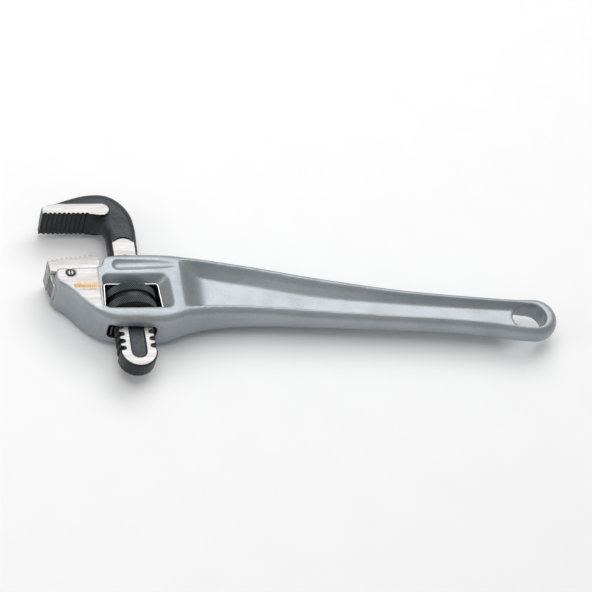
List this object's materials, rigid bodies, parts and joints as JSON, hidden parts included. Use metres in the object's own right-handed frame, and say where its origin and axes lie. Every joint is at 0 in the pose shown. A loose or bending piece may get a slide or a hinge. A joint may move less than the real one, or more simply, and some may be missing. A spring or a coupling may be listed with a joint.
{
  "type": "offset pipe wrench",
  "caption": "Offset pipe wrench with an aluminium I-beam handle, toothed heel jaw, threaded hook jaw and knurled adjusting nut; the jaw slides by the nut and rocks against a spring.",
  "frame": {"origin": "bottom centre of the box of the wrench lying flat with its jaws at the stored opening", "axes": "+X along the handle to its hanging hole, +Y to the hook jaw, +Z out of the upper flat face; the screw axis runs along Y"},
  "size_m": [0.3554, 0.141, 0.0348],
  "materials": {
    "cast_aluminium": "blasted casting, satin, with ground cheek faces",
    "ground_steel": "ground",
    "pin_steel": "dark spring steel",
    "forged_black": "black oxide forging with ground faces",
    "nut_black": "black oxide, knurled",
    "spring_steel": "oiled spring steel",
    "label": "printed film, plain"
  },
  "bodies": {
    "housing": {"handle_housing": "cast_aluminium", "heel_jaw": "ground_steel", "heel_jaw_pin": "pin_steel", "coil_spring": "spring_steel", "label": "label"},
    "float": {"leaf_spring": "spring_steel"},
    "hook": {"hook_jaw": "forged_black"},
    "nut": {"adjusting_nut": "nut_black"}
  },
  "joints": [
    {"name": "jaw_rock", "type": "hinge", "parent": "housing", "child": "float", "pos_m": [-0.12344, -0.01874, 0.0174], "axis": [0, 0, -1], "range_deg": [0, 3], "stiffness_Nm_per_rad": 4, "springref_deg": -5.73, "deforming": ["coil_spring"]},
    {"name": "nut_spin", "type": "hinge", "parent": "float", "child": "nut", "pos_m": [-0.12344, -0.01874, 0.0174], "axis": [0, 1, 0], "range_deg": [-1736, 1479]},
    {"name": "jaw_slide", "type": "slide", "parent": "float", "child": "hook", "axis": [0, 1, 0], "range_m": [-0.023, 0.027]}
  ],
  "couplings": [
    {"joint": "nut_spin", "follows": "jaw_slide", "rad_per_m": -1122}
  ]
}
